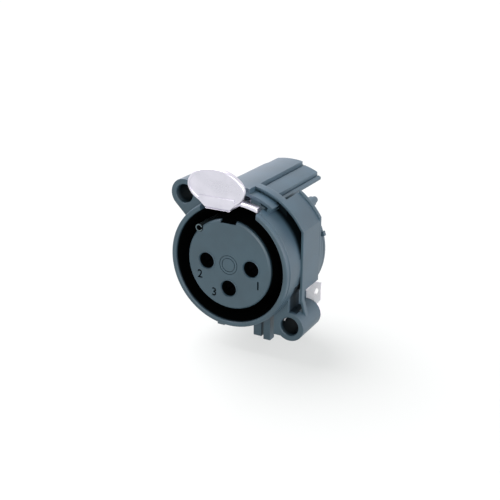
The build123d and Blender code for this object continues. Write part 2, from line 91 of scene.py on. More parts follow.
@dataclass
class Shell:
    """A closed surface: its points in millimetres and its faces as rings of point numbers."""

    points: Points
    faces: list

    @staticmethod
    def carried(sections: Points, ring: bool = False) -> "Shell":
        """Joins m closed sections of n points each with quads: face (i, j) has the corners
        (i, j), (i, j+1), (i+1, j+1) and (i+1, j). The two ends are closed by one face each.

        Args:
            sections: array of m by n by 3 points.
            ring: whether the last section is joined to the first instead of the ends being closed.
        Returns:
            The closed surface, with its faces pointing outwards.
        """
        rows, count = sections.shape[:2]
        index = np.arange(rows * count).reshape(rows, count)
        here = index if ring else index[:-1]
        there = np.roll(index, -1, axis=0) if ring else index[1:]
        quads = np.stack([here, np.roll(here, -1, 1), np.roll(there, -1, 1), there], -1)
        faces = quads.reshape(-1, 4).tolist()
        if not ring:
            faces += [index[0][::-1].tolist(), index[-1].tolist()]
        return Shell(sections.reshape(-1, 3), faces).outward()

    def volume(self) -> float:
        """Signed volume: the sum of the tetrahedra between the origin and each face's fan."""
        total = 0.0
        for size in {len(face) for face in self.faces}:
            fan = np.array([face for face in self.faces if len(face) == size])
            first = self.points[fan[:, :1]]
            cross = np.cross(self.points[fan[:, 1:-1]], self.points[fan[:, 2:]])
            total += float((first * cross).sum())
        return total / 6

    def outward(self) -> "Shell":
        """The same surface with its faces turned outwards."""
        if self.volume() < 0:
            self.faces = [face[::-1] for face in self.faces]
        return self

    def placed(self, origin: tuple, across: tuple, depth: tuple, up: tuple) -> "Shell":
        """The surface with its own x, y and z along three given directions from an origin."""
        axes = np.array([across, depth, up], float)
        return Shell(self.points @ axes + np.array(origin, float), self.faces).outward()

    def build(self, name: str) -> Piece:
        """Makes the mesh object, in metres, at the origin."""
        mesh = bpy.data.meshes.new(name)
        mesh.from_pydata((self.points * MM).tolist(), [], self.faces)
        mesh.update()
        return add_object(name, mesh)


def circle(radius: float, count: int = 96, x: float = 0.0, z: float = 0.0) -> Points:
    """Circle in X and Z: (x + radius cos t, z + radius sin t) for t over a full turn."""
    turn = np.linspace(0, 2 * np.pi, count, endpoint=False)
    return np.stack([x + radius * np.cos(turn), z + radius * np.sin(turn)], -1)


def arc(radius: float, start: float, end: float, count: int, x: float = 0.0, z: float = 0.0) -> Points:
    """Arc about (x, z) from start to end in degrees: (x + radius cos t, z + radius sin t)."""
    turn = np.radians(np.linspace(start, end, count))
    return np.stack([x + radius * np.cos(turn), z + radius * np.sin(turn)], -1)


def inset(outline: Points, amount: float) -> Points:
    """Moves a counter-clockwise outline inwards by an amount: each point goes along the mean of
    its two edges' inward normals, divided by the cosine of half the turn there."""
    ahead = np.roll(outline, -1, 0) - outline
    ahead /= np.linalg.norm(ahead, axis=1, keepdims=True)
    normal = np.stack([-ahead[:, 1], ahead[:, 0]], -1)
    mean = normal + np.roll(normal, 1, 0)
    mean /= np.maximum((mean * np.roll(normal, 1, 0)).sum(1, keepdims=True), 0.3)
    return outline + amount * mean


def counter_clockwise(outline: Points) -> Points:
    """The outline in counter-clockwise order, by the sign of its area."""
    x, z = outline[:, 0], outline[:, 1]
    area = (x * np.roll(z, -1) - np.roll(x, -1) * z).sum()
    return outline if area > 0 else outline[::-1]


def rounding(start: float, end: float, near: float, far: float, steps: int = 4) -> list:
    """Stations of a bar from start to end with rounded rims: (depth, inset) pairs that follow a
    quarter circle, depth = start + r (1 - cos t), inset = r (1 - sin t), and its mirror at the end."""
    turn = np.linspace(0, np.pi / 2, steps)
    front, back = [(start, 0.0)], [(end, 0.0)]
    if near:
        front = [(start + near * (1 - math.cos(t)), near * (1 - math.sin(t))) for t in turn]
    if far:
        back = [(end - far * (1 - math.cos(t)), far * (1 - math.sin(t))) for t in turn[::-1]]
    return front + back


def bar(outline: Points, start: float, end: float, near: float = 0.0, far: float = 0.0) -> Shell:
    """An outline in X and Z carried along Y from start to end, with rounded rims at its ends."""
    outline = counter_clockwise(np.asarray(outline, float))
    sections = []
    for depth, amount in rounding(start, end, near, far):
        flat = inset(outline, amount) if amount else outline
        sections.append(np.stack([flat[:, 0], np.full(len(flat), depth), flat[:, 1]], -1))
    return Shell.carried(np.array(sections))


def turned(profile: list, count: int = 192, x: float = 0.0, z: float = 0.0) -> Shell:
    """A solid turned about a line along Y: a circle of each (radius, depth) of its profile."""
    rings = []
    for radius, depth in profile:
        flat = circle(radius, count, x, z)
        rings.append(np.stack([flat[:, 0], np.full(count, depth), flat[:, 1]], -1))
    return Shell.carried(np.array(rings))


def ring(profile: list, count: int = 192) -> Shell:
    """A ring turned about the socket's axis: each point (radius, depth) of its closed profile at
    (radius cos t, depth, radius sin t) for t over a full turn."""
    radius, depth = np.array(profile, float).T
    turn = np.linspace(0, 2 * np.pi, count, endpoint=False)[:, None]
    points = np.stack([radius * np.cos(turn), depth + 0 * turn, radius * np.sin(turn)], -1)
    return Shell.carried(points, ring=True)


def rod(radius: float, start: float, end: float, count: int = 192, x: float = 0.0, z: float = 0.0) -> Shell:
    """A round rod along Y from start to end, about (x, z)."""
    return turned([(radius, start), (radius, end)], count, x, z)


def box(x: tuple, y: tuple, z: tuple, rim: float = 0.0) -> Shell:
    """A block between three pairs of limits, with rounded rims at its ends along Y."""
    return bar([(x[0], z[0]), (x[1], z[0]), (x[1], z[1]), (x[0], z[1])], *y, rim, rim)


def oval(wide: float, tall: float, level: float) -> Points:
    """Oval outline about (0, level): (wide cos t, level + tall sin t) for t over a full turn."""
    turn = np.linspace(0, 2 * np.pi, 128, endpoint=False)
    return np.stack([wide * np.cos(turn), level + tall * np.sin(turn)], -1)


def spun(outline: Points, degrees: float) -> Points:
    """An outline turned about the axis: (x cos t - z sin t, x sin t + z cos t)."""
    turn = math.radians(degrees)
    return outline @ np.array([[math.cos(turn), math.sin(turn)], [-math.sin(turn), math.cos(turn)]])


def side_bar(outline: list, left: float, right: float, rim: float = 0.0) -> Shell:
    """An outline in Y and Z carried along X from left to right, with rounded rims at its ends."""
    flat = bar(outline, left, right, rim, rim)
    return flat.placed((0, 0, 0), (0, 1, 0), (1, 0, 0), (0, 0, 1))


def sector(first: float, second: float, start: float, end: float, count: int) -> Points:
    """Outline between two radii about the axis and two angles in degrees: along the first radius
    from start to end, and back along the second."""
    return np.concatenate([arc(first, start, end, count), arc(second, end, start, count)])


def crown(radius: float, half_width: float, bottom: float, count: int = 40) -> Points:
    """Outline of a block with an arched top: z = sqrt(radius^2 - x^2) over a flat bottom."""
    across = np.linspace(half_width, -half_width, count)
    top = np.stack([across, np.sqrt(radius ** 2 - across ** 2)], -1)
    return np.concatenate([top, [(-half_width, bottom), (half_width, bottom)]])


def turn_at(radius: float, x: float) -> float:
    """The angle in degrees at which a circle about the axis reaches x: acos(x / radius)."""
    return math.degrees(math.acos(x / radius))


class Carver:
    """Joins shells to a first shell and cuts others from it, so that one moulding is one mesh."""

    def __init__(self, name: str, first: "Shell | Piece") -> None:
        """Starts from the first shell, or from an object that is closed."""
        self.made = first.build(name) if isinstance(first, Shell) else first

    def step(self, other: Piece, operation: str) -> None:
        """Applies one Boolean step with an object, which is used up, and keeps the result."""
        step = self.made.modifiers.new("step", "BOOLEAN")
        step.operation = operation
        step.solver = "MANIFOLD"
        step.object = other
        graph = bpy.context.evaluated_depsgraph_get()
        mesh = bpy.data.meshes.new_from_object(self.made.evaluated_get(graph))
        if not mesh.polygons:
            raise RuntimeError(f"{self.made.name}: a Boolean step left nothing")
        old = self.made.data
        self.made.modifiers.clear()
        self.made.data = mesh
        bpy.data.meshes.remove(old)
        bpy.data.objects.remove(other)

    def join(self, *shells: Shell) -> "Carver":
        """Adds shells to the piece."""
        for shell in shells:
            self.step(shell.build("step"), "UNION")
        return self

    def cut(self, *shells: Shell) -> "Carver":
        """Takes shells out of the piece."""
        for shell in shells:
            self.step(shell.build("step"), "DIFFERENCE")
        return self

    def finish(self, finish: Finish, slot: "Slot", body: str, node: str) -> Piece:
        """Shades the piece, gives it its finish and sets it on its body in place of its node."""
        dress(self.made, finish, body)
        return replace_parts(self.made, node)


def dress(piece: Piece, finish: Finish, body: "str | None") -> None:
    """Smooths a piece up to the crease angle, gives it one finish and sets it on a body.

    Args:
        piece: the mesh object.
        finish: its material.
        body: the body that it moves with, or None for a piece that is set on no body.
    """
    piece.data.shade_smooth()
    piece.data.set_sharp_from_angle(angle=SMOOTH_ANGLE)
    weighted = piece.modifiers.new("weighted", "WEIGHTED_NORMAL")
    weighted.keep_sharp = True
    piece.data.materials.clear()
    piece.data.materials.append(finish)
    if body:
        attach(piece, body)
    LOG.info("%s: %d faces", piece.name, len(piece.data.polygons))


def merged(node: str, name: str) -> Piece:
    """A copy of a node's mesh with its points merged and its flat faces whole, as a piece of its own."""
    mesh = bpy.data.objects[node].data.copy()
    made = add_object(name, mesh)
    work = bmesh.new()
    work.from_mesh(mesh)
    bmesh.ops.remove_doubles(work, verts=work.verts, dist=MERGE_DISTANCE)
    bmesh.ops.dissolve_limit(work, angle_limit=FLAT_ANGLE, verts=work.verts, edges=work.edges)
    work.to_mesh(mesh)
    work.free()
    return made


def refined(node: str, name: str, finish: Finish, slot: "Slot", body: str) -> Piece:
    """A node's own shape with smooth shading, which stands for the node."""
    return Carver(name, merged(node, name)).finish(finish, slot, body, node)


# Shader expressions

def math_operator(operation: str, swapped: bool = False) -> Callable:
    """A method that puts a Math node on a link and another value, swapped for a reflected one."""
    def apply(self: "Link", other: "Link | float") -> "Link":
        """The node's output."""
        pair = (other, self) if swapped else (self, other)
        return self.nodes.add("ShaderNodeMath", {"operation": operation}, dict(enumerate(pair)))
    return apply


class Link:
    """One output socket, with the operators that add Math nodes."""

    def __init__(self, nodes: "Nodes", socket: Input) -> None:
        """Wraps an output of a tree's nodes."""
        self.nodes = nodes
        self.socket = socket

    __add__ = math_operator("ADD")
    __radd__ = math_operator("ADD", True)
    __sub__ = math_operator("SUBTRACT")
    __rsub__ = math_operator("SUBTRACT", True)
    __mul__ = math_operator("MULTIPLY")
    __rmul__ = math_operator("MULTIPLY", True)
    __gt__ = math_operator("GREATER_THAN")
    __lt__ = math_operator("LESS_THAN")

    def ramp(self, low: float, high: float) -> "Link":
        """A smooth step from 0 at low to 1 at high."""
        settings = {"interpolation_type": "SMOOTHSTEP", "clamp": True}
        values = {"Value": self, "From Min": low, "From Max": high}
        return self.nodes.add("ShaderNodeMapRange", settings, values)


class Nodes:
    """The node tree of one material or world, with its shader and its output."""

    def __init__(self, owner: "Finish | bpy.types.World") -> None:
        """Takes up the nodes that a new material or world comes with."""
        owner.use_nodes = True
        self.owner = owner
        self.tree = owner.node_tree
        self.shader = self.find("BSDF_PRINCIPLED", "BACKGROUND")
        self.output = self.find("OUTPUT_MATERIAL", "OUTPUT_WORLD")

    def find(self, *kinds: str) -> bpy.types.Node:
        """The first node of one of the given kinds."""
        return next(node for node in self.tree.nodes if node.type in kinds)

    def put(self, socket: Input, value: object) -> None:
        """Links a value to an input, or sets it there."""
        if isinstance(value, Link):
            self.tree.links.new(value.socket, socket)
        elif isinstance(value, tuple) and len(value) == 3 and socket.type == "RGBA":
            socket.default_value = (*value, 1.0)
        else:
            socket.default_value = value

    def add(self, kind: str, settings: dict, values: dict, output: "str | int" = 0) -> Link:
        """Adds a node, sets it up and gives one of its outputs.

        Args:
            kind: the node's type.
            settings: attributes that are set first.
            values: a value or link for each input, by name or number.
            output: the output to give.
        Returns:
            The output, wrapped.
        """
        node = self.tree.nodes.new(kind)
        for key, value in settings.items():
            setattr(node, key, value)
        for key, value in values.items():
            self.put(node.inputs[key], value)
        return Link(self, node.outputs[output])

    def place(self) -> Link:
        """The point in the object's own coordinates, in metres."""
        return self.add("ShaderNodeTexCoord", {}, {}, "Object")

    def ray(self, kind: str) -> Link:
        """One for rays of a kind, or else zero."""
        return self.add("ShaderNodeLightPath", {}, {}, kind)

    def axes(self, point: Link) -> tuple:
        """The three parts of a point."""
        node = self.tree.nodes.new("ShaderNodeSeparateXYZ")
        self.put(node.inputs[0], point)
        return tuple(Link(self, node.outputs[i]) for i in range(3))

    def noise(self, point: Link, scale: float, detail: float) -> Link:
        """Noise from 0 to 1 about 0.5, with about scale waves to a metre."""
        return self.add("ShaderNodeTexNoise", {}, {"Vector": point, "Scale": scale, "Detail": detail})

    def mix(self, share: "Link | float", low: "Link | tuple", high: "Link | tuple") -> Link:
        """A colour between low and high."""
        return self.add("ShaderNodeMix", {"data_type": "RGBA"}, {0: share, 6: low, 7: high}, 2)

    def bump(self, height: Link, distance: float, strength: float) -> Link:
        """A normal from a height."""
        values = {"Strength": strength, "Distance": distance, "Height": height}
        return self.add("ShaderNodeBump", {}, values)

    def paint_shade(self, point: Link, shade_wells: tuple, colour: tuple) -> None:
        """Lays painted shade over the shader: a plain diffuse colour that stands for the shade in hollows.

        Args:
            point: the point in the object's own coordinates.
            shade_wells: the places where shade is painted.
            colour: the painted shade's colour at the deepest places.
        """
        axes = self.axes(point)
        cover = 0.0
        for well in shade_wells:
            cover = cover + (1.0 - cover) * well.share(*axes)
        # The painted shade: a flat diffuse colour, mixed in by how far a point lies inside the places
        # given.
        plain = self.add("ShaderNodeBsdfDiffuse", {}, {"Color": colour, "Roughness": 1.0})
        self.show("ShaderNodeMixShader", {0: cover, 1: self.surface(), 2: plain})

    def surface(self) -> Link:
        """What the shader gives."""
        return Link(self, self.shader.outputs[0])

    def show(self, kind: str, values: dict) -> None:
        """Puts a node that joins two shaders in front of the output."""
        self.put(self.output.inputs["Surface"], self.add(kind, {}, values))

    def set(self, **values: object) -> Finish:
        """Sets inputs of the shader, with _ for a space, and gives the material or world."""
        for key, value in values.items():
            self.put(self.shader.inputs[key.replace("_", " ")], value)
        return self.owner


@dataclass(frozen=True)
class ShadeWell:
    """A place where shade is painted into the colour: within a radius about a line along Y through (x, z),
    between two limits in X and Z where they are given, and from a front to a rear. The painted shade
    grows to its strength over the fade."""

    x: float = 0.0
    z: float = 0.0
    radius: float = 1.0
    front: float = 0.0
    fade: float = 0.3
    rear: float = 30.0
    across: tuple = ()
    up: tuple = ()
    strength: float = 1.0

    def share(self, x: Link, y: Link, z: Link) -> Link:
        """How much painted shade a point gets, from 0 to 1."""
        away = (x - self.x * MM) * (x - self.x * MM) + (z - self.z * MM) * (z - self.z * MM)
        inside = (away < (self.radius * MM) ** 2) * (y < self.rear * MM)
        if self.across:
            inside = inside * (x > self.across[0] * MM) * (x < self.across[1] * MM)
            inside = inside * (z > self.up[0] * MM) * (z < self.up[1] * MM)
        return self.strength * inside * y.ramp(self.front * MM, (self.front + self.fade) * MM)


@dataclass(frozen=True)
class MouldedPlastic:
    """Satin moulded plastic: a fine eroded texture, faint flow clouds, and painted shade in the hollows
    given.
    """

    name: str
    colour: tuple = (0.044, 0.088, 0.117)
    # Colour of the painted shade in hollows.
    painted_shade_colour: tuple = (0.0012, 0.0015, 0.0016)
    spread: tuple = (0.92, 1.1)
    roughness: float = 0.44
    uneven: tuple = (0.1, 0.12)
    sheen: float = 0.66
    cloud_scale: float = 220.0
    cloud_range: tuple = (0.3, 0.7)
    grain_scale: float = 9000.0
    grain_height: float = 0.004 * MM
    strength: float = 0.6
    shade_wells: tuple = ()

    def make(self) -> Finish:
        """Builds the material."""
        nodes = Nodes(bpy.data.materials.new(self.name))
        point = nodes.place()
        cloud = nodes.noise(point, self.cloud_scale, 3.0)
        fine = nodes.noise(point, self.grain_scale, 2.0)
        deep, light = (tuple(share * part for part in self.colour) for share in self.spread)
        wide, close = self.uneven
        nodes.set(
            Base_Color=nodes.mix(cloud.ramp(*self.cloud_range), deep, light),
            Roughness=self.roughness + wide * (cloud - 0.5) + close * (fine - 0.5),
            Normal=nodes.bump(fine + 0.6 * cloud, self.grain_height, self.strength),
            Specular_IOR_Level=self.sheen,
        )
        # Painted shade: a flat colour laid over the hollows where light would not reach.
        if self.shade_wells:
            nodes.paint_shade(point, self.shade_wells, self.painted_shade_colour)
        return nodes.owner


@dataclass(frozen=True)
class Plating:
    """Bright plating on metal: faint clouds, fine scratches along one way and soft highlights, with painted
    shade in the hollows given.
    """

    name: str
    colour: tuple = (0.75, 0.73, 0.81)
    tint: tuple = (0.64, 0.63, 0.70)
    roughness: float = 0.3
    metallic: float = 1.0
    uneven: tuple = (0.14, 0.1)
    scratch: tuple = (900.0, 200.0, 9000.0)
    cloud_scale: float = 350.0
    cloud_range: tuple = (0.25, 0.75)
    height: float = 0.0015 * MM
    strength: float = 0.5
    # Colour of the painted shade in hollows.
    painted_shade_tone: tuple = (0.003, 0.003, 0.004)
    shade_wells: tuple = ()

    def make(self) -> Finish:
        """Builds the material."""
        nodes = Nodes(bpy.data.materials.new(self.name))
        point = nodes.place()
        stretched = nodes.add("ShaderNodeMapping", {}, {"Vector": point, "Scale": self.scratch})
        lines = nodes.noise(stretched, 1.0, 3.0)
        cloud = nodes.noise(point, self.cloud_scale, 3.0)
        colour = nodes.mix(cloud.ramp(*self.cloud_range), self.tint, self.colour)
        wide, close = self.uneven
        # Painted shade: a flat colour laid over the deep places of the metal.
        if self.shade_wells:
            nodes.paint_shade(point, self.shade_wells, self.painted_shade_tone)
        return nodes.set(
            Base_Color=colour,
            Metallic=self.metallic,
            Roughness=self.roughness + wide * (cloud - 0.5) + close * (lines - 0.5),
            Normal=nodes.bump(lines + cloud, self.height, self.strength),
        )


@dataclass(frozen=True)
class Floor:
    """Pale floor that reads as white to the camera and keeps the object's shadow."""

    colour: tuple = (0.24, 0.27, 0.252)
    roughness: float = 0.9
    glow: tuple = (1.0, 1.0, 1.0)
    fill: float = 0.62

    def make(self) -> Finish:
        """Builds the material: a diffuse floor with a white glow that only the camera and
        reflections see."""
        nodes = Nodes(bpy.data.materials.new("pale_floor"))
        seen = nodes.ray("Is Camera Ray") + nodes.ray("Is Glossy Ray")
        glow = nodes.add("ShaderNodeEmission", {}, {"Color": self.glow, "Strength": self.fill * seen})
        nodes.show("ShaderNodeAddShader", {0: nodes.surface(), 1: glow})
        return nodes.set(Base_Color=self.colour, Roughness=self.roughness, Specular_IOR_Level=0.0)


class Slot(Enum):
    """Material slots of the record."""

    HOUSING = "housing_plastic"
    INSERT = "insert_plastic"
    COVER = "cover_plastic"
    LATCH = "latch_metal"
    SPRING = "spring_steel"
    TIN = "tinned_brass"
    CONTACT = "contact_metal"


# The socket

@dataclass
class Housing:
    """The housing moulding: collar and drum, flange, ears, hood, bridge, pegs, feet and nub."""

    collar_radius: float = 10.9
    collar_front: float = -2.9
    rim_length: float = 0.9
    rim_step: float = 0.12
    rim_round: float = 0.22
    rim_slope: tuple = ((-0.04, 0.03), (0.0, 0.1))
    mouth_radius: float = 9.95
    lead_in: float = 0.9
    bore_radius: float = 9.65
    annulus_floor: float = 10.1
    seat_radius: float = 10.1
    drum_rear: float = 10.8
    core_rear: float = 9.8
    flange_radius: float = 12.75
    flange_wall: float = 0.4
    flange_side: float = 11.2
    flange_front: float = 1.9
    flange_rear: float = 8.1
    flange_floor: float = 7.0
    band_rear: float = 3.7
    band_floor: float = 3.0
    deep_left: float = 7.2
    bead: tuple = (13.05, 8.9)
    bead_rims: tuple = (0.15, 0.3)
    ear_place: float = 9.9
    ear_root: float = 5.0
    ear_radius: float = 2.55
    ear_depth: float = 6.9
    screw_hole: float = 1.6
    screw_rim: float = 0.12
    claw_pocket: tuple = (1.95, 1.15)
    block: tuple = (7.0, 9.7, -11.9)
    bend: tuple = (-5.5, 0.95, -8.9)
    window: tuple = ((2.8, -4.2), (9.9, -4.2), (9.9, -9.5), (2.8, -9.5))
    window_right: float = 12.5
    hood_steps: tuple = ((11.8, 6.05), (12.2, 5.35), (12.75, 2.45))
    hood_front: float = 2.5
    hood_length: float = 19.6
    hood_bottom: float = 9.7
    hood_wall: float = 0.8
    hood_slot: tuple = (1.55, 0.3)
    pad_rear: float = 2.9
    bridge: tuple = (11.45, 12.0, 34.0, 30.4)
    bridge_leg: tuple = (9.75, 11.97)
    bridge_front: float = -0.2
    boss: tuple = (4.3, 11.72)
    slot: tuple = (5.1, 0.35)
    channel: tuple = (2.45, 8.15)
    pivot: tuple = (1.2, 10.25)
    pivot_hole: tuple = (0.5, 3.75)
    peg: tuple = (8.005, 8.117)
    peg_radii: tuple = (0.9, 0.6)
    peg_ends: tuple = (11.6, 12.95)
    peg_rims: tuple = (0.08, 0.2)
    catch: tuple = (17.0, 0.85, 0.4)
    catch_ends: tuple = (9.8, 10.5)
    catch_rim: float = 0.06
    grooves: tuple = ((2.6, 2.82, 11.55), (5.37, 5.6, 10.15))
    groove_front: float = 3.9
    feet: tuple = ((1.85, 3.35, -14.35), (3.75, 5.05, -14.75))
    feet_ends: tuple = (2.6, 4.2)
    feet_top: float = -10.0
    nub: tuple = ((-2.6, -1.25), (-1.95, -0.75), (-11.4, -10.3))
    edge: float = 0.12
    fine_edge: float = 0.1
    nub_edge: float = 0.08

    def collar(self) -> Shell:
        """The collar and drum as one ring, with rounded rims and the seat of the insert."""
        front, small = self.collar_front, self.rim_round
        outer = self.collar_radius - self.rim_step
        profile = [
            (self.mouth_radius + small, front),
            (outer - small, front),
            *arc(small, -90, 0, 5, outer - small, front + small)[1:],
            (outer, front + self.rim_length),
            *((self.collar_radius + out, front + self.rim_length + back) for out, back in self.rim_slope),
            (self.collar_radius, self.drum_rear - self.edge),
            (self.collar_radius - self.edge, self.drum_rear),
            (self.seat_radius, self.drum_rear),
            (self.seat_radius, self.annulus_floor),
            (self.bore_radius, self.annulus_floor),
            (self.bore_radius, front + self.lead_in),
            *arc(small, 180, 270, 5, self.mouth_radius + small, front + small)[:-1],
        ]
        return ring(profile)

    def foot(self, left: float, wall: float) -> list:
        """The flange's lower edge from a left end to its bent right side."""
        side = self.flange_side - wall
        bend_top, bend_out, low = self.bend
        return [(left, low), (side + bend_out, low), (side, bend_top)]

    def round_top(self, radius: float, left: float, wall: float, count: int) -> Points:
        """The flange's round top from its flat right side to a left end."""
        return arc(radius, turn_at(radius, self.flange_side - wall), turn_at(radius, left), count)

    def flange_outline(self, wall: float) -> Points:
        """D-shaped outline: a round top from the upper ear to the flat right side."""
        left = wall - self.ear_place
        top = self.round_top(self.flange_radius - wall, left, wall, 96)
        return np.concatenate([self.foot(0.0, wall), top, [(left, 0.0), (0.0, 0.0)]])

    def deep_outline(self, radius: float, wall: float, bent: bool) -> Points:
        """The part of the D to the right of the deep part's left end: down to the bend's foot, or
        down to the axis where it isn't bent."""
        left = self.deep_left + wall
        foot = self.foot(left, wall) if bent else [(left, 0.0), (self.flange_side - wall, 0.0)]
        return np.concatenate([foot, self.round_top(radius, left, wall, 32)])

    def flange(self) -> Carver:
        """The open flange: a shallow band, the deeper part at the right and its bead, hollowed."""
        front = self.flange_front
        bead_radius, bead_rear = self.bead
        inner = self.flange_radius - self.flange_wall
        band = bar(self.flange_outline(0.0), front, self.band_rear, self.edge, self.fine_edge)
        made = Carver("housing_moulding", band)
        made.join(
            bar(self.deep_outline(self.flange_radius, 0.0, True), front, self.flange_rear, self.edge),
            bar(self.deep_outline(bead_radius, 0.0, False), self.flange_rear, bead_rear, *self.bead_rims),
        )
        hollow = bar(self.flange_outline(self.flange_wall), front - OVER, self.band_floor)
        deep = bar(self.deep_outline(inner, self.flange_wall, True), front - OVER, self.flange_floor)
        return made.cut(hollow, deep, side_bar(self.window, self.deep_left, self.window_right))

    def ears(self) -> list:
        """The two ears: the upper one on a bar towards the axis, the lower one on its block."""
        end = arc(self.ear_radius, -90, 90, 40, self.ear_place * math.sqrt(2), 0.0)
        root = [(self.ear_root, self.ear_radius), (self.ear_root, -self.ear_radius)]
        upper = spun(np.concatenate([root, end]), 135)
        left, right, bottom = self.block
        block = [(left, bottom), (right, bottom), (right, 0.0), (left, 0.0)]
        outlines = [upper, circle(self.ear_radius, 96, self.ear_place, -self.ear_place), block]
        return [bar(outline, 0.0, self.ear_depth, self.edge, self.edge) for outline in outlines]

    def hood(self) -> list:
        """The hood's three crowned steps, the pad's front end over the bridge and the trunnion block."""
        ends = (self.hood_front, self.hood_length)
        steps = [
            bar(crown(radius, half, self.hood_bottom), *ends, self.fine_edge / 2, self.edge)
            for radius, half in self.hood_steps
        ]
        pad = bar(crown(*self.hood_steps[-1], self.bridge[0]), 0.0, self.pad_rear, self.edge)
        half, radius = self.boss
        return [*steps, pad, bar(crown(radius, half, self.hood_bottom), self.slot[1], self.band_rear)]

    def bridge_parts(self) -> list:
        """The bridge over the latch slot and its two legs."""
        inner, outer, half, leg = self.bridge
        low, high = self.bridge_leg
        outlines = [sector(outer, inner, 90 - half, 90 + half, 48)]
        for side in (1, -1):
            outlines.append(sector(low, high, 90 - side * leg, 90 - side * half, 8))
        return [bar(each, self.bridge_front, self.band_rear, self.fine_edge) for each in outlines]

    def small_parts(self) -> list:
        """Pegs with their thicker roots, catches, the two feet and the nub under the collar."""
        x, z = self.peg
        turn, reach, half = self.catch
        block = np.array(SQUARE) * (reach, half) + (self.collar_radius, 0.0)
        parts = []
        for side, angle in ((1, turn), (-1, 180 - turn)):
            for radius, end, rim in zip(self.peg_radii, self.peg_ends, self.peg_rims):
                peg = circle(radius, 32, side * x, side * z)
                parts.append(bar(peg, self.flange_floor, end, 0.0, rim))
            parts.append(bar(spun(block, angle), *self.catch_ends, self.catch_rim, self.catch_rim))
        for left, right, low in self.feet:
            parts.append(box((left, right), self.feet_ends, (low, self.feet_top), self.fine_edge))
        parts.append(box(*self.nub, self.nub_edge))
        return parts

    def trench(self, half_width: float, end: float) -> Shell:
        """What is open at the top of the bore under the bridge, to half_width each side."""
        radius = self.bridge[0]
        top = arc(radius, turn_at(radius, half_width), turn_at(radius, -half_width), 40)
        low = self.bore_radius / 2
        outline = np.concatenate([[(-half_width, low), (half_width, low)], top])
        return bar(outline, self.collar_front - OVER, end)

    def hollows(self) -> list:
        """What is open: the bore, the latch's slot and channel, the hood and the holes."""
        front, rear = self.collar_front, self.hood_length - self.hood_wall
        half = self.channel[0]
        roof = self.flange_radius - self.hood_wall
        radius, reach = self.pivot_hole
        wide, tall = self.hood_slot
        spring_level = (self.collar_radius, self.collar_radius + tall)
        cuts = [
            rod(self.bore_radius, front - OVER, self.annulus_floor),
            rod(self.seat_radius, self.annulus_floor - 0.01, self.drum_rear + OVER),
            self.trench(*self.slot),
            self.trench(*self.channel),
            bar(crown(roof, half, self.collar_radius), self.band_rear, rear),
            bar(crown(roof, half, self.hood_bottom - self.hood_wall), self.peg_ends[0], rear),
            box((-wide, wide), (rear - 0.1, rear + self.hood_wall / 2), spring_level),
            side_bar(circle(radius, 24, *self.pivot), -reach, reach),
        ]
        place, hole, rim = self.ear_place, self.screw_hole, self.screw_rim
        front_rim = hole + rim + 0.02
        profile = [
            (front_rim, -OVER),
            (front_rim, -0.01),
            (hole, rim),
            (hole, self.ear_depth - rim),
            (hole + rim, self.ear_depth),
            (hole + rim, self.ear_depth + OVER),
        ]
        for side in (1, -1):
            cuts.append(turned(profile, 64, side * place, -side * place))
        along = (self.groove_front, self.hood_length + OVER)
        for near, far, low in self.grooves:
            for across in ((near, far), (-far, -near)):
                cuts.append(box(across, along, (low, self.flange_radius)))
        pocket, pocket_front = self.claw_pocket
        cuts.append(rod(pocket, pocket_front, self.ear_depth + OVER, 64, place, -place))
        return cuts

    def make(self, finish: Finish) -> Piece:
        """Builds the housing as one mesh.

        Args:
            finish: its plastic.
        Returns:
            The piece that stands for the housing.
        """
        made = self.flange()
        core = rod(self.collar_radius, 0.0, self.core_rear)
        made.join(core, *self.ears(), *self.hood(), self.collar())
        made.join(*self.bridge_parts(), *self.small_parts())
        made.cut(*self.hollows())
        return made.finish(finish, Slot.HOUSING, BODY_SOCKET, "housing")


